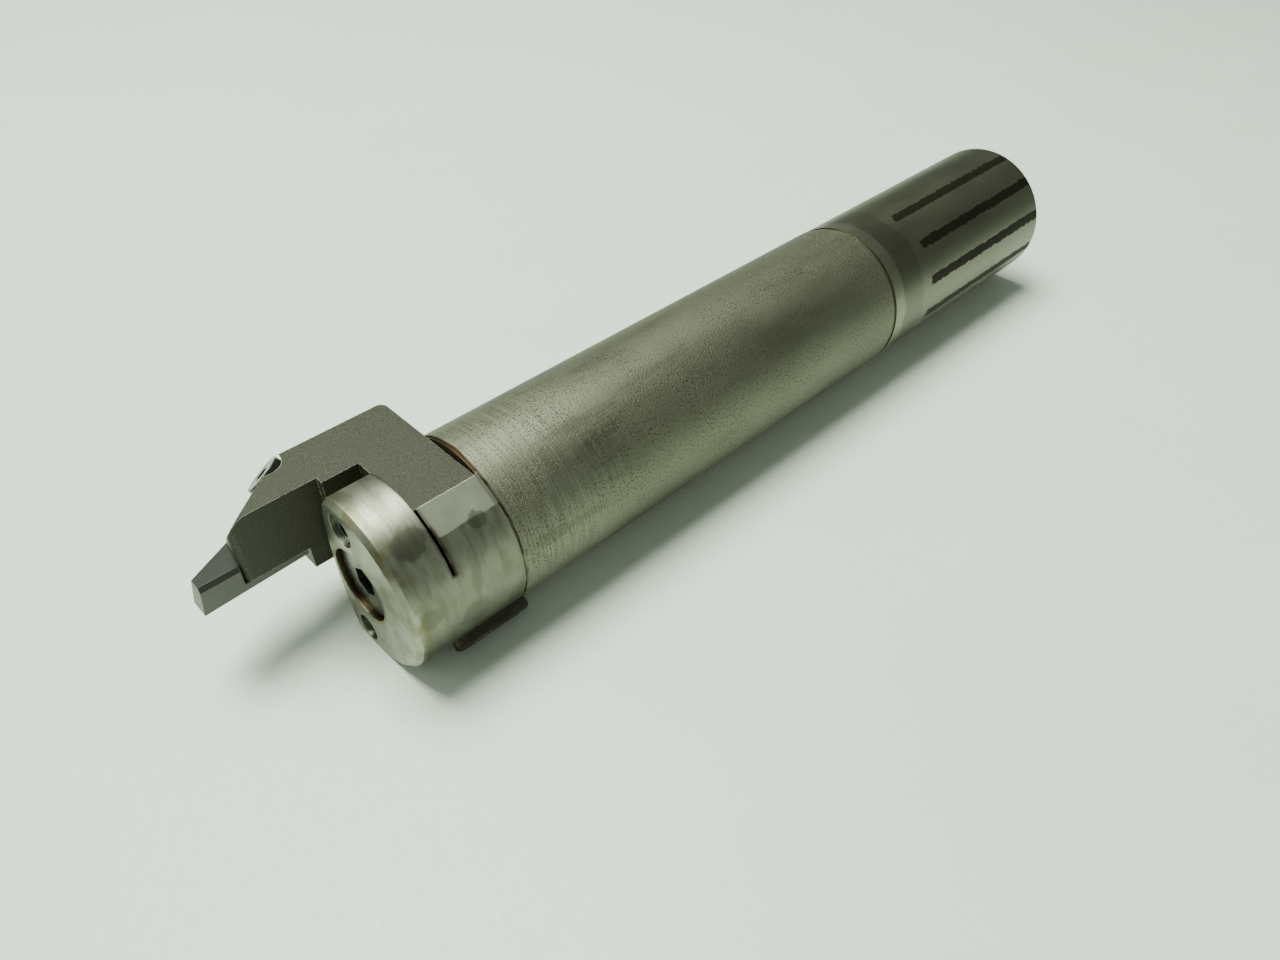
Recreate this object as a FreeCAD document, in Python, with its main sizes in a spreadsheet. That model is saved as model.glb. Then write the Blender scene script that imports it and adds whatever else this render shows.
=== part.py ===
"""Face-grooving bar: a round bar, an L-shaped support blade clamped in its head, and one insert.

+X runs along the bar towards the cutting end, +Z is up from the ground flat that the bar lies on, and the
blade stands out on the -Y side. The origin is on the bar's axis at the shoulder between shank and tube.
All lengths are in millimetres, and all angles are in degrees.
"""
import FreeCAD, Part
import math
import os
import re
import Sketcher

DOC = FreeCAD.newDocument("FaceGroovingBar")

# Driving sizes. "ahead" is measured forward from the front face, "behind" is measured back from it.
# Every cut runs past what it cuts by "overrun", and blocks that are joined share a "lap" of material.
SIZES = {
    "shank_radius": 16.0,
    "shank_length": 61.0,
    "tube_radius": 16.1,
    "body_length": 124.0,
    "head_radius": 15.95,
    "head_length": 21.0,
    "front_chamfer": 0.9,
    "rear_chamfer": 0.8,
    "relief_radius": 15.75,
    "relief_width": 1.2,
    "flat_depth": 1.0,
    "jaw_thickness": 8.8,
    "jaw_side": 7.6,
    "jaw_side_radius": 46.0,
    "jaw_side_lift": 0.5,
    "slot_width": 11.7,
    "slot_floor": 5.2,
    "slot_end": 6.1,
    "slit_width": 0.5,
    "slit_angle": 41.0,
    "slit_offset": 4.5,
    "facet_angle": 32.8,
    "facet_height": 15.69,
    "grip_gap": 0.1,
    "seat_gap": 0.05,
    "clamp_thread_radius": 4.0,
    "clamp_clearance_radius": 4.5,
    "clamp_head_radius": 6.5,
    "clamp_head_length": 5.0,
    "clamp_head_sink": 1.0,
    "clamp_screw_length": 25.0,
    "clamp_socket_flats": 5.0,
    "clamp_socket_depth": 3.0,
    "counterbore_radius": 6.8,
    "lock_thread_radius": 3.0,
    "lock_screw_length": 8.0,
    "lock_socket_flats": 3.0,
    "lock_socket_depth": 4.0,
    "small_hole_offset": 1.6,
    "lock_hole_height": 11.0,
    "coolant_hole_radius": 2.5,
    "coolant_hole_depth": 11.8,
    "coolant_bore_radius": 3.5,
    "coolant_bore_stop": 24.0,
    "coolant_overlap": 4.0,
    "port_radius": 4.3,
    "port_length": 10.0,
    "blade_top": 14.5,
    "blade_outer": 20.3,
    "blade_inner": 10.9,
    "blade_gap_side": 9.35,
    "blade_gap_start": 2.3,
    "blade_corner": 1.5,
    "nose_round": 3.9,
    "nose_corner": 1.2,
    "nose_setback": 1.5,
    "heel_ahead": 2.1,
    "heel_drop": 2.6,
    "leg_bottom": 1.9,
    "nose_ahead": 13.2,
    "taper_start": 3.5,
    "taper_side": 17.2,
    "taper_angle": 39.5,
    "flank_lean": 32.8,
    "cheek_thickness": 1.2,
    "cheek_ahead": 11.9,
    "insert_ahead": 20.5,
    "insert_height": 5.4,
    "insert_edge_width": 3.9,
    "insert_tail_width": 3.6,
    "insert_flare": 0.508,
    "insert_side_relief": 1.0,
    "insert_front_relief": 0.8,
    "insert_bevel": 0.7,
    "insert_tail_behind": 4.5,
    "insert_flange_end": 2.5,
    "rake_angle": 2.5,
    "rake_start": 0.1,
    "tail_floor": 0.85,
    "small_recess_radius": 3.95,
    "small_head_drop": 2.0,
    "small_head_ahead": 2.6,
    "small_head_side": 20.3,
    "small_head_rise": 45.0,
    "small_head_length": 2.4,
    "small_head_radius": 3.5,
    "small_thread_radius": 2.0,
    "small_screw_length": 5.5,
    "small_point_radius": 0.7,
    "small_point_length": 1.3,
    "small_socket_flats": 2.5,
    "small_socket_depth": 1.4,
    "pad_length": 14.9,
    "pad_width": 4.0,
    "pad_thickness": 4.2,
    "pad_stand_out": 18.1,
    "pad_angle": 47.0,
    "pad_behind": 15.5,
    "pad_round": 0.6,
    "pad_screw_pitch": 8.0,
    "pad_screw_radius": 1.0,
    "pad_screw_head_radius": 1.7,
    "pad_screw_head_depth": 0.9,
    "pad_screw_length": 6.0,
    "pad_seat_gap": 0.02,
    "pad_screw_gap": 0.03,
    "overrun": 1.0,
    "lap": 0.01,
}

ALONG_BAR = FreeCAD.Rotation(FreeCAD.Vector(0, 1, 0), 90)
CLOSE = 0.01


def make_sheet():
    """The spreadsheet that holds every driving size under its own alias."""
    sheet = DOC.addObject("Spreadsheet::Sheet", "Sizes")
    for row, (alias, value) in enumerate(SIZES.items(), start=1):
        sheet.set("A%d" % row, alias)
        sheet.set("B%d" % row, str(value))
        sheet.setAlias("B%d" % row, alias)
    DOC.recompute()
    return sheet


def in_sheet(formula):
    """The formula with each size's name turned into a reference to the sheet."""
    def reference(match):
        word = match.group()
        return "Sizes." + word if word in SIZES else word
    return re.sub(r"[a-z][a-z_]*", reference, formula)


def bind(thing, formulas):
    """Ties each named property of an object to its formula."""
    for path, formula in formulas.items():
        thing.setExpression(path, in_sheet(formula))


def box(name, x_span, y_span, z_span, turn=None):
    """A box between the given limits; turn is a formula for its angle about the X axis."""
    block = DOC.addObject("Part::Box", name)
    bind(block, {
        "Length": "(%s) - (%s)" % (x_span[1], x_span[0]),
        "Width": "(%s) - (%s)" % (y_span[1], y_span[0]),
        "Height": "(%s) - (%s)" % (z_span[1], z_span[0]),
    })
    if turn is None:
        bind(block, {"Placement.Base.x": x_span[0], "Placement.Base.y": y_span[0],
                     "Placement.Base.z": z_span[0]})
        return block
    # A first turn of any size fixes the axis; its angle then follows the formula.
    block.Placement.Rotation = FreeCAD.Rotation(FreeCAD.Vector(1, 0, 0), 1)
    low = {"y": y_span[0], "z": z_span[0], "t": turn}
    bind(block, {
        "Placement.Rotation.Angle": turn,
        "Placement.Base.x": x_span[0],
        "Placement.Base.y": "(%(y)s) * cos((%(t)s) * 1deg) - (%(z)s) * sin((%(t)s) * 1deg)" % low,
        "Placement.Base.z": "(%(y)s) * sin((%(t)s) * 1deg) + (%(z)s) * cos((%(t)s) * 1deg)" % low,
    })
    return block


def rod(name, radius, length, base):
    """A cylinder that starts at base and runs forward along the bar."""
    cylinder = DOC.addObject("Part::Cylinder", name)
    cylinder.Placement.Rotation = ALONG_BAR
    bind(cylinder, {
        "Radius": radius,
        "Height": length,
        "Placement.Base.x": base[0],
        "Placement.Base.y": base[1],
        "Placement.Base.z": base[2],
    })
    return cylinder


def fuse(name, pieces):
    """One solid made of several overlapping ones."""
    joined = DOC.addObject("Part::MultiFuse", name)
    joined.Shapes = pieces
    joined.Refine = True
    return joined


def cut(name, base, tools):
    """The base with every tool taken out of it."""
    tool = tools[0] if len(tools) == 1 else fuse(name + "Tools", tools)
    result = DOC.addObject("Part::Cut", name)
    result.Base = base
    result.Tool = tool
    result.Refine = True
    return result


def new_body(name):
    return DOC.addObject("PartDesign::Body", name)


def plane_of(body, role):
    for feature in body.Origin.OriginFeatures:
        if feature.Role == role:
            return feature
    raise ValueError(role)


def outline(body, name, points, height="0"):
    """A closed level sketch of straight lines, with its corners and its height tied to the sheet."""
    sketch = body.newObject("Sketcher::SketchObject", name)
    sketch.AttachmentSupport = [(plane_of(body, "XY_Plane"), "")]
    sketch.MapMode = "FlatFace"
    bind(sketch, {"AttachmentOffset.Base.z": height})
    count = len(points)
    rough = [FreeCAD.Vector(measure(x), measure(y), 0) for x, y in points]
    for index in range(count):
        sketch.addGeometry(Part.LineSegment(rough[index], rough[(index + 1) % count]), False)
    for index in range(count):
        sketch.addConstraint(Sketcher.Constraint("Coincident", index, 2, (index + 1) % count, 1))
    for index, (x, y) in enumerate(points):
        for kind, value, formula in (("DistanceX", rough[index].x, x), ("DistanceY", rough[index].y, y)):
            number = sketch.addConstraint(Sketcher.Constraint(kind, -1, 1, index, 1, value))
            bind(sketch, {"Constraints[%d]" % number: formula})
    return sketch


def measure(formula):
    """The number that a formula gives with the sizes as they are now."""
    value = SHEET.evalExpression(in_sheet(formula))
    return float(getattr(value, "Value", value))


def pad(body, sketch, length, name):
    feature = body.newObject("PartDesign::Pad", name)
    feature.Profile = sketch
    bind(feature, {"Length": length})
    return feature


def loft(body, name, lower, upper):
    """A solid with straight sides from one sketch to the other."""
    feature = body.newObject("PartDesign::AdditiveLoft", name)
    feature.Profile = lower
    feature.Sections = [upper]
    feature.Ruled = True
    return feature


def edges_where(shape, test):
    """Names of the straight edges whose two ends both pass the test."""
    names = []
    for number, edge in enumerate(shape.Edges, start=1):
        ends = [vertex.Point for vertex in edge.Vertexes]
        if len(ends) == 2 and all(test(end) for end in ends):
            names.append("Edge%d" % number)
    return names


def dress(body, kind, name, formulas, test):
    """A fillet or chamfer on the straight edges of the body whose ends pass the test."""
    DOC.recompute()
    base = body.Tip
    names = edges_where(base.Shape, test)
    feature = body.newObject(kind, name)
    feature.Base = (base, names)
    bind(feature, formulas)
    body.Tip = feature


def size(alias):
    """One size as it stands in the sheet."""
    return float(SHEET.get(alias))


def make_turned_blank():
    """The bar as it comes off the lathe: shank, tube, head and the two end chamfers."""
    body = new_body("TurnedBlank")
    profile = outline(body, "BarProfile", [
        ("-shank_length", "0"),
        ("-shank_length", "shank_radius - rear_chamfer"),
        ("rear_chamfer - shank_length", "shank_radius"),
        ("0", "shank_radius"),
        ("0", "relief_radius"),
        ("relief_width", "relief_radius"),
        ("relief_width", "tube_radius"),
        ("body_length - head_length", "tube_radius"),
        ("body_length - head_length", "head_radius"),
        ("body_length - front_chamfer", "head_radius"),
        ("body_length", "head_radius - front_chamfer"),
        ("body_length", "0"),
    ])
    turned = body.newObject("PartDesign::Revolution", "TurnedProfile")
    turned.Profile = profile
    turned.ReferenceAxis = (profile, ["H_Axis"])
    turned.Angle = 360
    return body


def make_jaw_relief():
    """What is ground off the blade side of the jaw, down to a shallow convex face."""
    waste = box("JawReliefBlock", ("body_length - jaw_thickness", "body_length + overrun"),
                ("-tube_radius - overrun", "0"), ("-tube_radius - overrun", "tube_radius + overrun"))
    kept = rod("JawSideCurve", "jaw_side_radius", "jaw_thickness + 3 * overrun",
               ("body_length - jaw_thickness - overrun", "jaw_side_radius - jaw_side", "jaw_side_lift"))
    return cut("JawRelief", waste, [kept])


def make_coolant_drilling():
    """A slanted drilling from the end of the rear bore to the lower hole in the front face."""
    start = FreeCAD.Vector(size("coolant_bore_stop") - size("coolant_overlap"), 0, 0)
    outlet = FreeCAD.Vector(size("body_length"), -size("small_hole_offset"), -size("coolant_hole_depth"))
    run = outlet - start
    length = run.Length + 2 * size("overrun")
    shape = Part.makeCylinder(size("coolant_hole_radius"), length, start, run)
    return placed_feature("CoolantDrilling", shape, FreeCAD.Placement())


def pad_pocket(clearance):
    """A block with half-round ends, as deep as the pad, in the pad's own frame."""
    half_run = (size("pad_length") - size("pad_width")) / 2
    radius = size("pad_width") / 2 + clearance
    corner = FreeCAD.Vector(-half_run, -radius, 0)
    block = Part.makeBox(2 * half_run, 2 * radius, size("pad_thickness"), corner)
    for side in (-1, 1):
        end = FreeCAD.Vector(side * half_run, 0, 0)
        block = block.fuse(Part.makeCylinder(radius, size("pad_thickness"), end))
    return block.removeSplitter()


def pad_placement():
    """The seat of the guide pad: its own +Z points straight out of the head, down and to the right."""
    lean = FreeCAD.Rotation(FreeCAD.Vector(1, 0, 0), -90 - size("pad_angle"))
    outward = lean.multVec(FreeCAD.Vector(0, 0, 1))
    seat = outward * (size("pad_stand_out") - size("pad_thickness"))
    along = FreeCAD.Vector(size("body_length") - size("pad_behind"), 0, 0)
    return FreeCAD.Placement(seat + along, lean)


def pad_screw_spots():
    half = size("pad_screw_pitch") / 2
    return [FreeCAD.Vector(side * half, 0, size("pad_thickness")) for side in (-1, 1)]


def pad_screw_shape(spot, clearance):
    """A countersunk screw, head flush with the pad, pointing in towards the bar's axis."""
    inward = FreeCAD.Vector(0, 0, -1)
    head = Part.makeCone(size("pad_screw_head_radius") + clearance, size("pad_screw_radius") + clearance,
                         size("pad_screw_head_depth"), spot, inward)
    stem = Part.makeCylinder(size("pad_screw_radius") + clearance, size("pad_screw_length"), spot, inward)
    return head.fuse(stem).removeSplitter()


def placed_feature(name, shape, placement):
    feature = DOC.addObject("Part::Feature", name)
    feature.Shape = shape
    feature.Placement = placement
    return feature


def make_bar_body():
    """One steel piece: shank, tube and head, with the jaw left joined below the saw slit."""
    slot = box("BladeSlot",
               ("body_length - jaw_thickness - slot_width", "body_length - jaw_thickness"),
               ("-tube_radius - overrun", "slot_end"), ("slot_floor", "tube_radius + overrun"))
    slit = box("SawSlit",
               ("body_length - jaw_thickness - slit_width", "body_length - jaw_thickness"),
               ("-2 * tube_radius", "2 * tube_radius"), ("-slit_offset", "2 * tube_radius"),
               turn="slit_angle")
    facet = box("GroundFacet",
                ("body_length - head_length", "body_length - jaw_thickness - slit_width"),
                ("-tube_radius", "tube_radius"), ("facet_height", "2 * tube_radius"),
                turn="-facet_angle")
    underside = box("GroundFlat", ("-shank_length - overrun", "body_length + overrun"),
                    ("-tube_radius", "tube_radius"),
                    ("-tube_radius - overrun", "flat_depth - shank_radius"))
    counterbore = rod("ClampCounterbore", "counterbore_radius",
                      "clamp_head_sink + clamp_head_length + overrun",
                      ("body_length - clamp_head_sink - clamp_head_length", "0", "0"))
    clearance = rod("ClampClearance", "clamp_clearance_radius", "jaw_thickness + slit_width",
                    ("body_length - jaw_thickness - slit_width", "0", "0"))
    thread = rod("ClampThread", "clamp_thread_radius", "clamp_screw_length",
                 ("body_length - clamp_screw_length - jaw_thickness", "0", "0"))
    lock_hole = rod("LockHole", "lock_thread_radius", "jaw_thickness + overrun",
                    ("body_length - jaw_thickness", "-small_hole_offset", "lock_hole_height"))
    bore = rod("CoolantBore", "coolant_bore_radius", "shank_length + coolant_bore_stop",
               ("-shank_length", "0", "0"))
    port = rod("CoolantPort", "port_radius", "port_length", ("-shank_length", "0", "0"))
    seat = placed_feature("PadSeat", pad_pocket(size("pad_seat_gap")), pad_placement())
    screw_gap = size("pad_screw_gap")
    screw_holes = Part.makeCompound([pad_screw_shape(spot, screw_gap) for spot in pad_screw_spots()])
    holes = placed_feature("PadScrewHoles", screw_holes, pad_placement())
    bar = cut("BarBody", make_turned_blank(), [
        slot, slit, facet, underside, make_jaw_relief(), counterbore, clearance, thread, lock_hole,
        bore, port, make_coolant_drilling(), seat, holes,
    ])
    bar.Label = "bar_body"
    return bar


def make_blade_blank():
    """The L-shaped blade before it is tapered and bored: cross leg, root, heel and forward leg."""
    body = new_body("BladeBlank")
    rear = "body_length - jaw_thickness - slot_width + grip_gap"
    front = "body_length - jaw_thickness - grip_gap"
    gap = "body_length - blade_gap_start"
    heel = "body_length + heel_ahead"
    nose = "body_length + nose_ahead"
    heel_top = "leg_bottom + overrun"
    blocks = [
        ("CrossLeg", rear, front, front, "slot_end - grip_gap", "slot_floor + grip_gap", "blade_top"),
        ("Root", front + " - lap", gap, gap, "-blade_gap_side", "-heel_drop", "blade_top"),
        ("Heel", gap + " - lap", heel, heel, "-blade_inner", "-heel_drop", heel_top),
        ("Leg", gap + " - lap", nose + " - nose_setback", nose, "-blade_inner", "leg_bottom", "blade_top"),
    ]
    for name, back, outer_front, inner_front, inner, bottom, top in blocks:
        corners = [(back, "-blade_outer"), (outer_front, "-blade_outer"),
                   (inner_front, inner), (back, inner)]
        sketch = outline(body, name + "Outline", corners, height=bottom)
        pad(body, sketch, "(%s) - (%s)" % (top, bottom), name)
    rear_x = measure(rear)
    outer_y = -size("blade_outer")
    dress(body, "PartDesign::Fillet", "OuterRearCorner", {"Radius": "blade_corner"},
          lambda point: abs(point.x - rear_x) < CLOSE and abs(point.y - outer_y) < CLOSE)
    front_x = measure(nose)
    inner_y = -size("blade_inner")
    dress(body, "PartDesign::Fillet", "NoseCorner", {"Radius": "nose_corner"},
          lambda point: abs(point.x - front_x) < CLOSE and abs(point.y - inner_y) < CLOSE)
    return body


def make_nose_waste():
    """What is rounded off the top of the blade's nose, which leaves the inner ridge sharp."""
    block = box("NoseTopBlock",
                ("body_length + nose_ahead - nose_round", "body_length + nose_ahead + overrun"),
                ("-blade_outer - overrun", "0"), ("blade_top - nose_round", "blade_top + overrun"))
    sideways = FreeCAD.Rotation(FreeCAD.Vector(0, 0, 1), FreeCAD.Vector(0, -1, 0))
    centre = FreeCAD.Vector(measure("body_length + nose_ahead - nose_round"), 0,
                            measure("blade_top - nose_round"))
    kept = turned_tool("NoseTopRound", "nose_round", "-overrun", "blade_outer + 2 * overrun",
                       FreeCAD.Placement(centre, sideways))
    return cut("NoseTopWaste", block, [kept])


def out_of_taper(rise):
    """The direction that leaves the blade's tapered flank, raised above level by the given angle."""
    turn = math.radians(size("taper_angle"))
    lift = math.radians(rise)
    return FreeCAD.Vector(math.sin(turn) * math.cos(lift), -math.cos(turn) * math.cos(lift),
                          math.sin(lift))


def make_flank_waste():
    """What the taper removes: all that lies outside the plane of the flank."""
    on_taper = FreeCAD.Vector(size("body_length") + size("taper_start"), -size("taper_side"),
                              size("blade_top"))
    block = DOC.addObject("Part::Box", "FlankWaste")
    bind(block, {"Length": "3 * blade_outer", "Width": "3 * blade_outer", "Height": "blade_outer"})
    rotation = FreeCAD.Rotation(FreeCAD.Vector(0, 0, 1), out_of_taper(size("flank_lean")))
    half = measure("1.5 * blade_outer")
    corner = rotation.multVec(FreeCAD.Vector(-half, -half, 0))
    block.Placement = FreeCAD.Placement(on_taper + corner, rotation)
    return block


def small_screw_placement():
    """The insert clamp screw's head: its own +Z points up and out of the flank."""
    rotation = FreeCAD.Rotation(FreeCAD.Vector(0, 0, 1), out_of_taper(size("small_head_rise")))
    face = FreeCAD.Vector(size("body_length") + size("small_head_ahead"), -size("small_head_side"),
                          size("blade_top") - size("small_head_drop"))
    return FreeCAD.Placement(face, rotation)


def turned_tool(name, radius, low, high, placement):
    """A round cutting tool along its own +Z, placed as a screw is."""
    cylinder = DOC.addObject("Part::Cylinder", name)
    bind(cylinder, {"Radius": radius, "Height": "(%s) - (%s)" % (high, low)})
    start = placement.Rotation.multVec(FreeCAD.Vector(0, 0, measure(low)))
    cylinder.Placement = FreeCAD.Placement(placement.Base + start, placement.Rotation)
    return cylinder


def make_support_blade():
    """The blade, with its tapered flank, the pocket for the insert and the recess for its screw."""
    tail_sides = ("-blade_inner - cheek_thickness - insert_tail_width - seat_gap",
                  "seat_gap - blade_inner - cheek_thickness")
    past_nose = "body_length + nose_ahead + overrun"
    socket = box("TailSocket",
                 ("body_length - insert_tail_behind - seat_gap", "body_length + heel_ahead + overrun"),
                 tail_sides, ("tail_floor", "insert_height + seat_gap"))
    channel = box("InsertChannel", ("body_length + heel_ahead", past_nose),
                  tail_sides, ("-heel_drop - overrun", "insert_height + seat_gap"))
    nose_step = box("NoseStep", ("body_length + cheek_ahead", past_nose),
                    ("-blade_outer - overrun", tail_sides[1]), ("0", "insert_height + seat_gap"))
    seat = small_screw_placement()
    recess = turned_tool("SmallRecess", "small_recess_radius", "-small_head_length - seat_gap",
                         "blade_outer", seat)
    hole = turned_tool("SmallThread", "small_thread_radius",
                       "-small_head_length - small_screw_length - small_point_length - overrun", "0",
                       seat)
    blade = cut("SupportBlade", make_blade_blank(),
                [make_flank_waste(), make_nose_waste(), socket, channel, nose_step, recess, hole])
    blade.Label = "support_blade"
    return blade


def make_rake_waste():
    """A wide box below the insert, whose top rises towards the rear and so leaves the rake face."""
    block = DOC.addObject("Part::Box", "RakeWaste")
    bind(block, {"Length": "2 * insert_ahead", "Width": "2 * blade_outer", "Height": "insert_height"})
    front_edge = FreeCAD.Vector(measure("body_length + insert_ahead + overrun"),
                                measure("-1.5 * blade_outer"), size("rake_start"))
    turn = FreeCAD.Rotation(FreeCAD.Vector(0, 1, 0), 180 + size("rake_angle"))
    block.Placement = FreeCAD.Placement(front_edge, turn)
    return block


def make_grooving_insert():
    """The carbide insert: a head that narrows to the cutting edge, and a plain tail in the pocket."""
    body = new_body("InsertBody")
    tip = "(body_length + insert_ahead)"
    shoulder = "(body_length + cheek_ahead + seat_gap)"
    inner = "(-blade_inner - 2 * seat_gap)"
    run = "(insert_ahead - cheek_ahead - seat_gap)"
    bottom = outline(body, "RakeFace", [
        (tip, inner),
        (tip, "%s - insert_edge_width" % inner),
        (shoulder, "%s - insert_edge_width - insert_flare * %s" % (inner, run)),
        (shoulder, inner),
    ])
    top = outline(body, "HeadTop", [
        (tip + " - insert_front_relief", inner),
        (tip + " - insert_front_relief", "%s - insert_edge_width + insert_side_relief" % inner),
        (shoulder, "%s - insert_edge_width + insert_side_relief - insert_flare * (%s - insert_front_relief)"
         % (inner, run)),
        (shoulder, inner),
    ], height="insert_height")
    loft(body, "Head", bottom, top)
    tail_side = "(-blade_inner - cheek_thickness)"
    inside_head = shoulder + " + overrun"
    tail = outline(body, "TailOutline", [
        ("body_length - insert_tail_behind", tail_side),
        (inside_head, tail_side),
        (inside_head, tail_side + " - insert_tail_width"),
        ("body_length - insert_tail_behind", tail_side + " - insert_tail_width"),
    ])
    pad(body, tail, "insert_height", "Tail")
    flange = outline(body, "FlangeOutline", [
        ("body_length + insert_flange_end", inner),
        (inside_head, inner),
        (inside_head, tail_side + " - overrun"),
        ("body_length + insert_flange_end", tail_side + " - overrun"),
    ])
    pad(body, flange, "leg_bottom - seat_gap", "Flange")
    inner_y = measure(inner)
    dress(body, "PartDesign::Chamfer", "InnerTopBevel", {"Size": "insert_bevel"},
          lambda point: abs(point.y - inner_y) < CLOSE and abs(point.z - size("insert_height")) < CLOSE)
    seat = box("LipSeat", ("body_length", "body_length + nose_ahead + 2 * seat_gap"),
               (tail_side, "0"), ("leg_bottom - seat_gap", "insert_height + overrun"))
    insert = cut("GroovingInsert", body, [seat, make_rake_waste()])
    insert.Label = "grooving_insert"
    return insert


def make_screw(label, stages, socket, placement):
    """A screw along its own Z axis with its outer face at zero.

    Each stage is a radius and a length, from the outer end inwards; the socket is its width across
    flats and its depth.
    """
    name = "".join(word.capitalize() for word in label.split("_"))
    solids = []
    depth = "0"
    for radius, length in stages:
        depth = "%s + (%s)" % (depth, length)
        cylinder = DOC.addObject("Part::Cylinder", name + "Stage%d" % len(solids))
        bind(cylinder, {"Radius": radius, "Height": length, "Placement.Base.z": "-(%s)" % depth})
        solids.append(cylinder)
    hexagon = DOC.addObject("Part::Prism", name + "Socket")
    hexagon.Polygon = 6
    bind(hexagon, {"Circumradius": "%s / sqrt(3)" % socket[0], "Height": "%s + overrun" % socket[1],
                   "Placement.Base.z": "-(%s)" % socket[1]})
    blank = solids[0] if len(solids) == 1 else fuse(name + "Blank", solids)
    screw = cut(name, blank, [hexagon])
    screw.Placement = placement
    screw.Label = label
    return screw


def facing_front(sink, y, z):
    """A placement whose +Z points forward along the bar, sunk below the front face."""
    point = FreeCAD.Vector(size("body_length") - sink, y, z)
    return FreeCAD.Placement(point, ALONG_BAR)


def make_screws():
    clamp = make_screw(
        "clamp_screw",
        [("clamp_head_radius", "clamp_head_length"),
         ("clamp_thread_radius - seat_gap", "clamp_screw_length")],
        ("clamp_socket_flats", "clamp_socket_depth"),
        facing_front(size("clamp_head_sink"), 0, 0))
    lock = make_screw(
        "blade_lock_screw", [("lock_thread_radius - seat_gap", "lock_screw_length")],
        ("lock_socket_flats", "lock_socket_depth"),
        facing_front(size("jaw_thickness") - size("lock_screw_length"), -size("small_hole_offset"),
                     size("lock_hole_height")))
    small = make_screw(
        "insert_clamp_screw",
        [("small_head_radius", "small_head_length"),
         ("small_thread_radius - seat_gap", "small_screw_length"),
         ("small_point_radius", "small_point_length")],
        ("small_socket_flats", "small_socket_depth"), small_screw_placement())
    return [clamp, lock, small]


def make_guide_pad():
    """The wear pad on the underside: half-round ends, softened outer edge, two countersunk holes."""
    blank = pad_pocket(0)
    top = size("pad_thickness")
    rim = [edge for edge in blank.Edges if all(abs(end.Point.z - top) < CLOSE for end in edge.Vertexes)]
    shape = blank.makeFillet(size("pad_round"), rim)
    for spot in pad_screw_spots():
        shape = shape.cut(pad_screw_shape(spot, size("pad_screw_gap")))
    pad_object = placed_feature("GuidePad", shape, pad_placement())
    pad_object.Label = "guide_pad"
    screws = Part.makeCompound([pad_screw_shape(spot, 0) for spot in pad_screw_spots()])
    screw_object = placed_feature("GuidePadScrews", screws, pad_placement())
    screw_object.Label = "guide_pad_screws"
    return [pad_object, screw_object]


def check(nodes):
    """Stops before anything is written if an object failed or a shape is missing or not valid."""
    for thing in DOC.Objects:
        if "Invalid" in thing.State or "Error" in thing.State:
            raise RuntimeError("%s failed: %s" % (thing.Name, thing.State))
    for node in nodes:
        if node.Shape.isNull() or not node.Shape.isValid():
            raise RuntimeError("%s has no valid shape" % node.Label)
        print("%-20s %d solid(s) %9.1f mm3" % (node.Label, len(node.Shape.Solids), node.Shape.Volume))


SHEET = make_sheet()
NODES = [make_bar_body(), make_support_blade(), make_grooving_insert()] + make_screws() + make_guide_pad()
DOC.recompute()
check(NODES)
os.makedirs("parts", exist_ok=True)
for part_node in NODES:
    part_node.Shape.exportStep("parts/%s.step" % part_node.Label)
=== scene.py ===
"""Looks of the face-grooving bar: materials, floor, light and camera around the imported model.

Everything is in metres in the model's own frame: +X along the bar to the cutting end, +Z up, and the
blade on the -Y side. The origin is on the axis at the shoulder between shank and tube.
"""
import math
import bpy
from mathutils import Matrix, Vector


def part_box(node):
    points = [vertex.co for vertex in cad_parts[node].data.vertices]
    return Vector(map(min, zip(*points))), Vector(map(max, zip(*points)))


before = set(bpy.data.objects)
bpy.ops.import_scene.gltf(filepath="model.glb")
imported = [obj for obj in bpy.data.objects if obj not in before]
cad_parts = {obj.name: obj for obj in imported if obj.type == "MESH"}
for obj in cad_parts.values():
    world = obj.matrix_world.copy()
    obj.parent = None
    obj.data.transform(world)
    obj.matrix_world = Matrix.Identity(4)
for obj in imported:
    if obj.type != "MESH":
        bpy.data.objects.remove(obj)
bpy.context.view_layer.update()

MM = 0.001
BAR_LOW, BAR_HIGH = (Vector(corner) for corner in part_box("bar_body"))
MIDDLE = (0.04, 0, 0)
# The head, the jaw at its front end, and how far the saw slit behind the jaw is turned from level.
HEAD_LENGTH = 21 * MM
JAW_LENGTH = 9.3 * MM
SLIT_TURN = math.radians(41)
# The reach of the slot's walls and of the counterbore from the axis, and the facet's angles from +Z to +Y.
SLOT_RADIUS = 15.3 * MM
COUNTERBORE = 6.9 * MM
FACET_SPAN = (math.radians(22), math.radians(43))
# The lines on the shank: their distance around it, and the shift of the first one as a share of that.
MARK_PITCH = math.radians(30)
MARK_SHIFT = -0.4
FACE = BAR_HIGH.x
RADIUS = BAR_HIGH.z
SEAM = FACE - HEAD_LENGTH
JAW = FACE - JAW_LENGTH
FLOOR = BAR_LOW.z
# Dark smudges on the head: millimetres ahead of the front face, degrees from +Z, reach in millimetres.
SMUDGES = ((-5.5, 37, 2.8), (-10.9, 98, 3.0), (-3.2, 82, 2.0), (-16.4, 45, 1.6))


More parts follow.
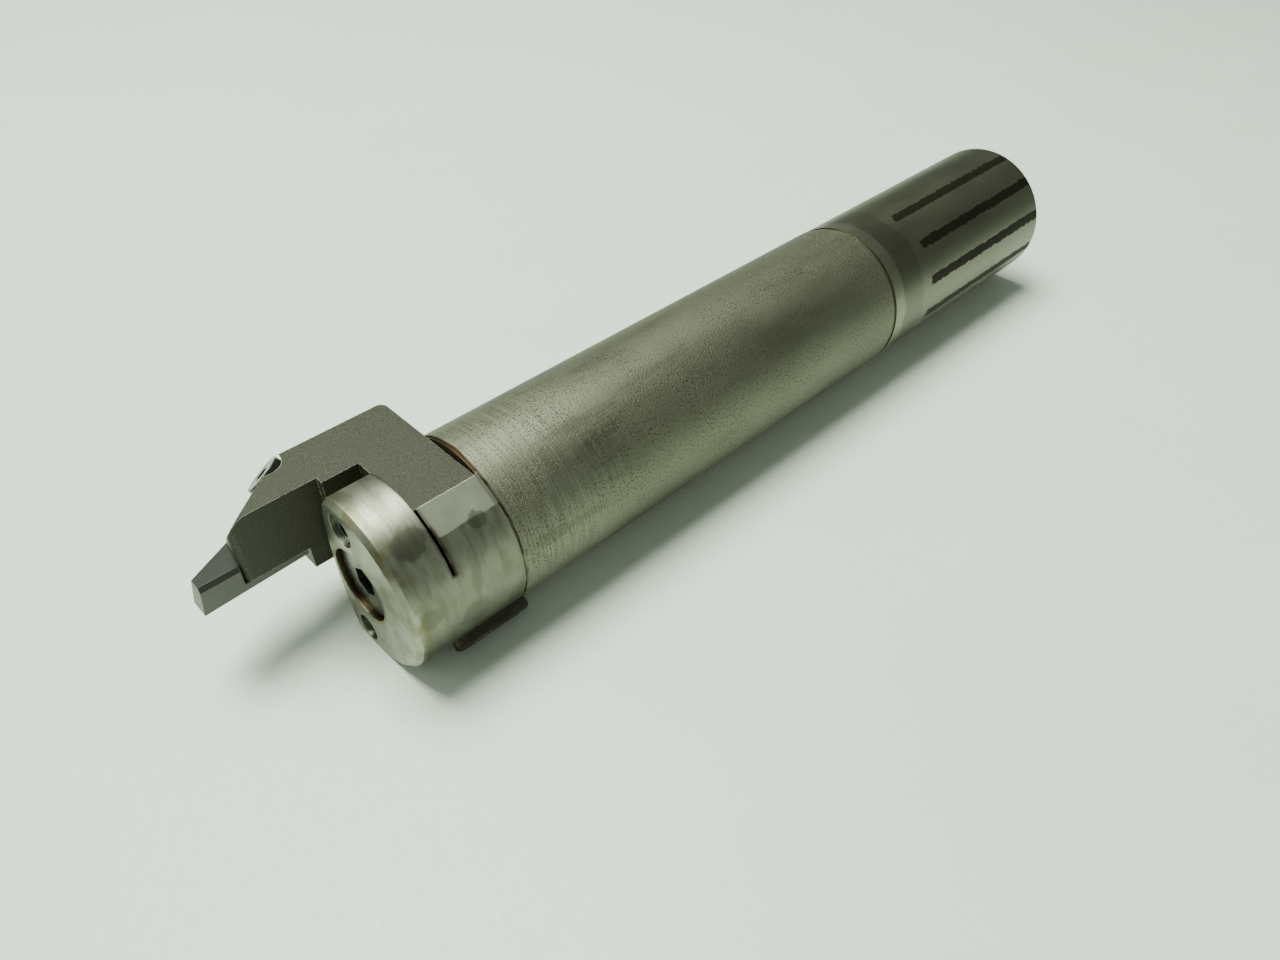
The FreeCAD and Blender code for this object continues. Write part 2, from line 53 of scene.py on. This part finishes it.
class Finish:
    """A Principled material, with short calls for the nodes that drive its colour and surface."""

    def __init__(self, name, metallic=1.0, **fixed):
        self.data = bpy.data.materials.new(name)
        self.data.use_nodes = True
        self.tree = self.data.node_tree
        self.shader = self.tree.nodes["Principled BSDF"]
        self.shader.inputs["Metallic"].default_value = metallic
        for socket, value in fixed.items():
            self.shader.inputs[socket.replace("_", " ")].default_value = value
        spots = self.tree.nodes.new("ShaderNodeTexCoord").outputs
        self.place = spots["Object"]
        self.place_normal = spots["Normal"]
        self.x, self.y, self.z = self.add("SeparateXYZ", Vector=self.place).outputs

    def add(self, kind, settings=(), **inputs):
        """A shader node with its settings and its inputs, which are sockets or plain values."""
        node = self.tree.nodes.new("ShaderNode" + kind)
        for setting, value in dict(settings).items():
            setattr(node, setting, value)
        for name, value in inputs.items():
            self.feed(node.inputs[name.replace("_", " ")], value)
        return node

    def feed(self, socket, value):
        """Links a socket to another one, or sets it to a plain value."""
        if isinstance(value, bpy.types.NodeSocket):
            self.tree.links.new(value, socket)
        else:
            socket.default_value = value

    def math(self, operation, *values):
        """The result of a Math node."""
        node = self.add("Math", {"operation": operation})
        for socket, value in zip(node.inputs, values):
            self.feed(socket, value)
        return node.outputs[0]

    def times(self, first, *others):
        """The product of two or more masks or numbers."""
        for other in others:
            first = self.math("MULTIPLY", first, other)
        return first

    def wave(self, grain, reach, detail=3):
        """Noise about zero, which shifts an edge by up to half the reach either way."""
        return self.times(self.math("SUBTRACT", self.noise(grain, detail), 0.5), reach)

    def fade(self, value, start, end, low=0.0, high=1.0):
        """A smooth change from low, where the value is start, to high, where it is end."""
        node = self.add("MapRange", {"interpolation_type": "SMOOTHSTEP"}, Value=value)
        limits = {"From Min": start, "From Max": end, "To Min": low, "To Max": high}
        for name, limit in limits.items():
            self.feed(node.inputs[name], limit)
        return node.outputs["Result"]

    def within(self, value, low, high, soft):
        """One between low and high, zero outside, with soft edges."""
        return self.times(self.fade(value, low - soft, low + soft),
                          self.fade(value, high + soft, high - soft))

    def noise(self, grain, detail=3.0, stretch=(1, 1, 1), where=None, seed=0.0):
        """Cloudy noise whose blobs are about one grain across, in metres."""
        scaled = self.add("Mapping", Vector=where or self.place, Scale=[side / grain for side in stretch],
                          Location=(seed, seed, seed))
        node = self.add("TexNoise", Vector=scaled.outputs[0], Scale=1.0, Detail=detail, Roughness=0.55)
        return node.outputs["Fac"]

    def mix(self, factor, first, second):
        """The first colour, replaced by the second as the factor goes from zero to one."""
        node = self.add("MixRGB")
        for name, value in (("Fac", factor), ("Color1", first), ("Color2", second)):
            self.feed(node.inputs[name], value)
        return node.outputs[0]

    def tint(self, colour, mask, strength, towards):
        """The colour, moved towards another one by the given strength where the mask is one."""
        return self.mix(self.times(mask, strength), colour, towards)

    def around(self):
        """The angle about the bar's axis from +Z towards +Y, and the place along and around the bar."""
        angle = self.math("ARCTAN2", self.y, self.z)
        return angle, self.add("CombineXYZ", X=self.x, Y=self.times(angle, RADIUS)).outputs[0]

    def patch(self, wrapped, along, degrees, reach):
        """One inside an uneven round patch on the bar, centred at a place along it and around it."""
        centre = (along, math.radians(degrees) * RADIUS, 0)
        apart = self.add("VectorMath", {"operation": "DISTANCE"})
        self.feed(apart.inputs[0], wrapped)
        self.feed(apart.inputs[1], centre)
        uneven = self.math("ADD", apart.outputs["Value"], self.wave(0.6 * reach, reach))
        return self.fade(uneven, 1.1 * reach, 0.8 * reach)

    def off_axis(self):
        """The distance from the bar's axis."""
        return self.add("VectorMath", {"operation": "LENGTH"},
                        Vector=self.add("CombineXYZ", Y=self.y, Z=self.z).outputs[0]).outputs["Value"]

    def worn(self, reach, low, high):
        """Where a convex or concave edge is within reach, from how a rounded normal turns away."""
        rounded = self.add("Bevel", {"samples": 6}, Radius=reach).outputs[0]
        flat = self.add("NewGeometry").outputs["True Normal"]
        along = self.add("VectorMath", {"operation": "DOT_PRODUCT"})
        self.feed(along.inputs[0], rounded)
        self.feed(along.inputs[1], flat)
        return self.fade(self.math("SUBTRACT", 1.0, along.outputs["Value"]), low, high)

    def bumped(self, *layers):
        """Bump from one or more pairs of height and depth in metres, laid over rounded edges."""
        normal = self.add("Bevel", {"samples": 6}, Radius=0.12 * MM).outputs[0]
        for height, depth in layers:
            normal = self.add("Bump", Height=height, Distance=depth, Strength=1.0,
                              Normal=normal).outputs[0]
        self.feed(self.shader.inputs["Normal"], normal)

    def surface(self, colour, roughness):
        """Gives the shader its colour and its roughness."""
        self.feed(self.shader.inputs["Base Color"], colour)
        self.feed(self.shader.inputs["Roughness"], roughness)


# The colours of the finishes and of the light, as linear values.
STEEL = (0.195, 0.197, 0.147, 1)
STEEL_LIGHT = (0.54, 0.56, 0.46, 1)
STEEL_DARK = (0.105, 0.108, 0.075, 1)
SPECKLE = (0.045, 0.034, 0.020, 1)
STAIN = (0.020, 0.016, 0.011, 1)
# Rust on the head's seam and by the saw slit; the same colour is also painted shade in the counterbore and
# the blade slot.
RUST_AND_SHADE = (0.050, 0.027, 0.011, 1)
GREASE = (0.15, 0.125, 0.035, 1)
BLADE_DARK = (0.030, 0.030, 0.021, 1)
BLADE_LIGHT = (0.085, 0.086, 0.062, 1)
BLADE_CLOUD = (0.052, 0.052, 0.037, 1)
BLADE_WORN = (0.60, 0.62, 0.50, 1)
# The carbide's dark colour for faces that point up is painted shade.
CARBIDE_TOP_SHADE = (0.030, 0.032, 0.026, 1)
CARBIDE_SIDE = (0.110, 0.115, 0.098, 1)
CARBIDE_GROUND = (0.150, 0.155, 0.135, 1)
CARBIDE_WORN = (0.30, 0.32, 0.28, 1)
OXIDE = (0.014, 0.014, 0.012, 1)
OXIDE_LIGHT = (0.055, 0.055, 0.042, 1)
OXIDE_WORN = (0.28, 0.29, 0.24, 1)
PAD_DARK = (0.020, 0.017, 0.011, 1)
PAD_LIGHT = (0.060, 0.050, 0.034, 1)
PAD_RUBBED = (0.15, 0.14, 0.10, 1)
BOARD = (0.87, 0.95, 0.87, 1)
BOARD_LIGHT = (0.90, 0.98, 0.90, 1)
ROOM_TINT = (0.88, 1.0, 0.84, 1)
LAMP_TINT = (0.90, 1.0, 0.85)
SIDE_LAMP_TINT = (0.90, 1.0, 0.86)


def add_tube_marks(finish, wrapped, colour):
    """Fine dark pitting all over the tube, dark streaks along it, and turning marks by the head."""
    tube = finish.within(finish.x, 0.4 * MM, SEAM - 0.4 * MM, 0.2 * MM)
    pits = finish.fade(finish.noise(0.40 * MM, 3, where=wrapped), 0.52, 0.60)
    patches = finish.fade(finish.noise(16 * MM, 3, seed=3.0), 0.30, 0.62, 0.35, 1.0)
    specks = finish.times(tube, pits, patches)
    colour = finish.tint(colour, specks, 0.7, SPECKLE)
    streaks = finish.fade(finish.noise(5 * MM, 3, stretch=(0.22, 1, 1), where=wrapped, seed=5.0), 0.56, 0.66)
    near_head = finish.fade(finish.x, SEAM - 60 * MM, SEAM - 20 * MM, 0.15, 0.6)
    colour = finish.mix(finish.times(tube, streaks, near_head), colour, STEEL_DARK)
    turning = finish.noise(0.30 * MM, 3, stretch=(1, 0.04, 1), where=wrapped)
    by_head = finish.fade(finish.x, SEAM - 32 * MM, SEAM - 8 * MM, 0.12, 1.0)
    turned = finish.times(tube, by_head, finish.fade(turning, 0.42, 0.60))
    colour = finish.tint(colour, turned, 0.16, STEEL_LIGHT)
    return colour, specks, finish.times(tube, by_head, turning)


def add_shank_marks(finish, angle, colour, roughness):
    """A lighter band at the shoulder, an old wavy stain, and the dark lines a holder left on one side."""
    along = finish.math("ADD", finish.x, finish.wave(5 * MM, 5 * MM))
    band = finish.within(finish.x, -3.4 * MM, -0.1 * MM, 0.15 * MM)
    colour = finish.tint(colour, band, 0.16, STEEL_LIGHT)
    stain = finish.within(along, -10.5 * MM, -3.6 * MM, 0.5 * MM)
    colour = finish.tint(colour, stain, 0.45, STEEL_DARK)
    corner = finish.within(finish.x, -0.35 * MM, 0.05 * MM, 0.1 * MM)
    colour = finish.tint(colour, corner, 0.7, GREASE)
    turns = finish.math("ADD", finish.math("DIVIDE", angle, MARK_PITCH), MARK_SHIFT)
    off_line = finish.math("ABSOLUTE", finish.math("SUBTRACT", finish.math("FRACT", turns), 0.5))
    ragged = finish.math("ADD", off_line, finish.wave(1.1 * MM, 0.16, detail=4))
    off_line = finish.math("SUBTRACT", 0.5, ragged)
    line = finish.times(finish.fade(off_line, 0.145, 0.115),
                        finish.fade(along, -13.4 * MM, -14.2 * MM),
                        finish.fade(finish.y, -1 * MM, 1 * MM),
                        finish.fade(finish.off_axis(), SLOT_RADIUS - 0.3 * MM, SLOT_RADIUS + 0.1 * MM))
    colour = finish.tint(colour, line, 0.95, STAIN)
    shank = finish.fade(finish.x, 0.1 * MM, -0.1 * MM)
    roughness = finish.math("SUBTRACT", roughness, finish.times(shank, 0.13))
    return colour, finish.math("ADD", roughness, finish.times(line, 0.25))


def painted_slot_shade(finish, across):
    """Painted shade: one on the blade slot's walls and rear lip, and on forward walls well behind the front
    face.
    """
    slot = finish.within(finish.x, SEAM + 0.05 * MM, JAW + 0.6 * MM, 0.05 * MM)
    inside = finish.times(slot, finish.fade(across, SLOT_RADIUS + 0.25 * MM, SLOT_RADIUS))
    faces_front = finish.fade(finish.add("SeparateXYZ", Vector=finish.place_normal).outputs[0], 0.5, 0.8)
    rear = finish.times(faces_front, finish.fade(finish.x, FACE - 5 * MM, FACE - 6 * MM))
    lip = finish.times(finish.within(finish.x, SEAM - 0.1 * MM, SEAM + 0.7 * MM, 0.1 * MM),
                       finish.fade(finish.y, 6.5 * MM, 5.5 * MM), finish.fade(finish.z, 4 * MM, 5.5 * MM))
    return finish.math("MAXIMUM", lip, finish.math("MAXIMUM", inside, rear))


def add_head_marks(finish, angle, wrapped, colour):
    """Hand dressing, the facet lightened as ground finish and painted highlight, painted shade on the lower
    side, smudges, then rust, old grease and painted shade in the counterbore and slot.
    """
    head = finish.fade(finish.x, SEAM, SEAM + 0.4 * MM)
    across = finish.off_axis()
    strokes = finish.noise(1.8 * MM, 3, stretch=(1, 0.22, 1), where=wrapped, seed=7.0)
    bright = finish.fade(strokes, 0.36, 0.60, 0.10, 0.40)
    colour = finish.tint(colour, head, bright, STEEL_LIGHT)
    uneven_angle = finish.math("ADD", angle, finish.wave(3 * MM, 0.12))
    # The ground facet is lightened: partly its own ground finish, partly a painted highlight.
    facet_finish_and_highlight = finish.times(finish.within(uneven_angle, *FACET_SPAN, 0.01),
                            finish.within(finish.x, SEAM + 0.8 * MM, JAW - 0.3 * MM, 0.2 * MM))
    colour = finish.tint(colour, facet_finish_and_highlight, 0.75, STEEL_LIGHT)
    behind_rim = finish.fade(finish.x, FACE - 1 * MM, FACE - 2 * MM)
    # Painted shade: the head's lower side is darkened.
    low = finish.times(head, finish.fade(uneven_angle, 1.0, 1.4), behind_rim)
    colour = finish.tint(colour, low, 0.6, STEEL_DARK)
    for ahead, degrees, reach in SMUDGES:
        smudge = finish.patch(wrapped, FACE + ahead * MM, degrees, reach * MM)
        colour = finish.tint(colour, smudge, 0.6, STEEL_DARK)
    rim = finish.fade(finish.x, FACE - 4 * MM, FACE - 0.6 * MM)
    oily = finish.times(rim, finish.fade(finish.noise(4 * MM, 3, seed=11.0), 0.46, 0.62))
    colour = finish.tint(colour, oily, 0.55, GREASE)
    hole_rim = finish.within(across, COUNTERBORE - 0.2 * MM, COUNTERBORE + 0.5 * MM, 0.25 * MM)
    colour = finish.tint(colour, finish.times(hole_rim, rim), 0.7, GREASE)
    # Painted shade: the counterbore's walls are darkened.
    behind_face = finish.fade(finish.x, FACE - 0.2 * MM, FACE - 0.5 * MM)
    bore_shade = finish.times(behind_face, finish.fade(across, COUNTERBORE + 0.3 * MM, COUNTERBORE))
    colour = finish.tint(colour, bore_shade, 0.85, RUST_AND_SHADE)
    # Painted shade on the blade slot's walls, rear lip and recessed forward walls.
    colour = finish.tint(colour, painted_slot_shade(finish, across), 0.92, RUST_AND_SHADE)
    uneven = finish.math("ADD", finish.x, finish.wave(3 * MM, 0.9 * MM))
    seam = finish.within(uneven, SEAM - 0.25 * MM, SEAM + 0.15 * MM, 0.15 * MM)
    patchy = finish.fade(finish.noise(6 * MM, 2, seed=31.0), 0.40, 0.55, 0.35, 0.9)
    colour = finish.tint(colour, seam, patchy, RUST_AND_SHADE)
    cut_depth = finish.math("SUBTRACT", finish.times(finish.z, math.cos(SLIT_TURN)),
                            finish.times(finish.y, math.sin(SLIT_TURN)))
    by_slit = finish.times(finish.within(finish.x, JAW - 0.5 * MM, JAW + 0.7 * MM, 0.35 * MM),
                           finish.fade(cut_depth, -5.2 * MM, -4.4 * MM))
    return finish.tint(colour, by_slit, patchy, RUST_AND_SHADE), strokes


def bar_steel():
    """Turned and ground steel: pitted tube, smoother stained shank, hand-dressed head."""
    finish = Finish("bar_steel")
    angle, wrapped = finish.around()
    cloud = finish.noise(9 * MM, 4, stretch=(0.3, 1, 1), where=wrapped)
    colour = finish.mix(finish.fade(cloud, 0.25, 0.55, 0.65, 1.0), STEEL_DARK, STEEL)
    roughness = finish.fade(cloud, 0.3, 0.7, 0.48, 0.56)
    edge = finish.worn(0.3 * MM, 0.03, 0.12)
    colour = finish.tint(colour, edge, 0.35, STEEL_LIGHT)
    colour, specks, turning = add_tube_marks(finish, wrapped, colour)
    colour, roughness = add_shank_marks(finish, angle, colour, roughness)
    colour, strokes = add_head_marks(finish, angle, wrapped, colour)
    head = finish.fade(finish.x, SEAM, SEAM + 1 * MM)
    roughness = finish.math("SUBTRACT", roughness, finish.times(head, 0.13))
    finish.surface(colour, roughness)
    finish.bumped((turning, 0.03 * MM), (specks, -0.03 * MM),
                  (finish.times(head, strokes), 0.05 * MM))
    return finish.data


def blade_steel():
    """Hardened blade: dark, fine-grained, worn bright along its inner ridge and its edges."""
    finish = Finish("blade_steel", metallic=0.1, Specular_IOR_Level=0.25)
    grain = finish.noise(0.26 * MM, 2)
    cloud = finish.noise(6 * MM, 3, seed=2.0)
    colour = finish.mix(finish.fade(grain, 0.35, 0.65), BLADE_DARK, BLADE_LIGHT)
    colour = finish.mix(finish.fade(cloud, 0.35, 0.65, 0.2, 0.6), colour, BLADE_CLOUD)
    scuffed = finish.fade(finish.noise(0.7 * MM, 3, seed=5.0), 0.36, 0.52)
    edge = finish.times(finish.worn(0.16 * MM, 0.05, 0.16), scuffed)
    colour = finish.mix(edge, colour, BLADE_WORN)
    finish.surface(colour, finish.fade(edge, 0.0, 1.0, 0.50, 0.28))
    finish.bumped((grain, 0.035 * MM))
    return finish.data


def carbide():
    """Carbide: smooth, darker on faces that point up as painted shade, ground to a lighter grey on its
    sides, with honed edges.
    """
    finish = Finish("carbide", metallic=0.05, Specular_IOR_Level=0.3)
    cloud = finish.noise(3 * MM, 3)
    lines = finish.noise(0.25 * MM, 2, stretch=(0.08, 1, 1))
    # Painted shade: faces that point up are given the dark top colour.
    level = finish.fade(finish.add("SeparateXYZ", Vector=finish.place_normal).outputs[2], 0.3, 0.6)
    ground_side = finish.mix(cloud, CARBIDE_SIDE, CARBIDE_GROUND)
    colour = finish.mix(level, ground_side, CARBIDE_TOP_SHADE)
    edge = finish.worn(0.10 * MM, 0.04, 0.14)
    colour = finish.tint(colour, edge, 0.45, CARBIDE_WORN)
    finish.surface(colour, finish.fade(lines, 0.3, 0.7, 0.34, 0.46))
    finish.bumped((lines, 0.006 * MM))
    return finish.data


def black_oxide():
    """Black oxide screws with a little oil on them."""
    finish = Finish("black_oxide", metallic=0.5)
    grain = finish.noise(0.5 * MM, 3)
    colour = finish.mix(grain, OXIDE, OXIDE_LIGHT)
    edge = finish.worn(0.2 * MM, 0.04, 0.14)
    colour = finish.tint(colour, edge, 0.5, OXIDE_WORN)
    finish.surface(colour, finish.fade(finish.noise(2 * MM, 2), 0.4, 0.6, 0.22, 0.36))
    finish.bumped((grain, 0.02 * MM))
    return finish.data


def pad_steel():
    """The guide pad: nearly black, rubbed a little lighter in streaks along it."""
    finish = Finish("pad_steel", metallic=0.6)
    grain = finish.noise(0.4 * MM, 3)
    rubbed = finish.noise(1.6 * MM, 3, stretch=(0.3, 1, 1))
    colour = finish.mix(grain, PAD_DARK, PAD_LIGHT)
    colour = finish.mix(finish.fade(rubbed, 0.5, 0.75, 0.0, 0.4), colour, PAD_RUBBED)
    finish.surface(colour, finish.fade(rubbed, 0.3, 0.7, 0.5, 0.34))
    finish.bumped((grain, 0.03 * MM))
    return finish.data


def table_top():
    """The floor: a pale, faintly mottled board."""
    finish = Finish("table_top", metallic=0.0)
    cloud = finish.noise(60 * MM, 3)
    fine = finish.noise(1.2 * MM, 2)
    colour = finish.mix(finish.fade(cloud, 0.3, 0.7), BOARD, BOARD_LIGHT)
    finish.surface(colour, finish.fade(fine, 0.3, 0.7, 0.42, 0.52))
    finish.bumped((fine, 0.01 * MM))
    return finish.data


def dress_frame():
    """Gives each CAD node its finish."""
    finishes = [
        (bar_steel(), ["bar_body"]),
        (blade_steel(), ["support_blade"]),
        (carbide(), ["grooving_insert"]),
        (black_oxide(), ["clamp_screw", "blade_lock_screw", "insert_clamp_screw", "guide_pad_screws"]),
        (pad_steel(), ["guide_pad"]),
    ]
    for finish, nodes in finishes:
        for name in nodes:
            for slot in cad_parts[name].material_slots:
                slot.material = finish


def build_floor():
    """A wide floor at the height of the bar's flat."""
    half = 3.0
    mesh = bpy.data.meshes.new("floor")
    corners = [(-half, -half, FLOOR), (half, -half, FLOOR), (half, half, FLOOR), (-half, half, FLOOR)]
    mesh.from_pydata(corners, [], [(0, 1, 2, 3)])
    mesh.materials.append(table_top())
    floor = bpy.data.objects.new("floor", mesh)
    bpy.context.collection.objects.link(floor)


def aim(thing, place, target):
    """Puts a light at a place and turns it to face the target."""
    thing.location = place
    thing.rotation_euler = (Vector(target) - Vector(place)).to_track_quat("-Z", "Y").to_euler()


def add_light(name, place, size, power, colour):
    """A soft rectangular lamp, aimed at the middle of the bar."""
    data = bpy.data.lights.new(name, "AREA")
    data.shape = "RECTANGLE"
    data.size, data.size_y = size
    data.energy = power
    data.color = colour
    light = bpy.data.objects.new(name, data)
    bpy.context.collection.objects.link(light)
    aim(light, place, MIDDLE)


def build_light():
    """Even room light, a soft lamp overhead, and two weak ones ahead and on the +Y side."""
    world = bpy.data.worlds.new("room")
    world.use_nodes = True
    background = world.node_tree.nodes["Background"]
    background.inputs["Color"].default_value = ROOM_TINT
    background.inputs["Strength"].default_value = 0.20
    bpy.context.scene.world = world
    add_light("overhead", (0.11, -0.27, 0.85), (0.48, 0.48), 16.0, LAMP_TINT)
    add_light("front", (0.75, -0.45, 0.45), (0.5, 0.5), 1.3, SIDE_LAMP_TINT)
    add_light("fill", (0.35, 0.85, 0.45), (0.8, 0.8), 0.7, SIDE_LAMP_TINT)


def build_camera():
    """The camera, above and ahead of the cutting end and on the side away from the blade."""
    data = bpy.data.cameras.new("camera")
    data.lens = 26.53
    data.sensor_width = 36.0
    data.clip_start = 0.01
    camera = bpy.data.objects.new("camera", data)
    bpy.context.collection.objects.link(camera)
    place = Vector((0.1614, 0.1033, 0.1127))
    right = Vector((-0.71746, 0.69658, -0.00486)).normalized()
    back = Vector((0.51487, 0.53497, 0.66986)).normalized()
    up = back.cross(right).normalized()
    turn = Matrix((right, up, back)).transposed().to_4x4()
    camera.matrix_world = Matrix.Translation(place) @ turn
    bpy.context.scene.camera = camera


dress_frame()
build_floor()
build_light()
build_camera()
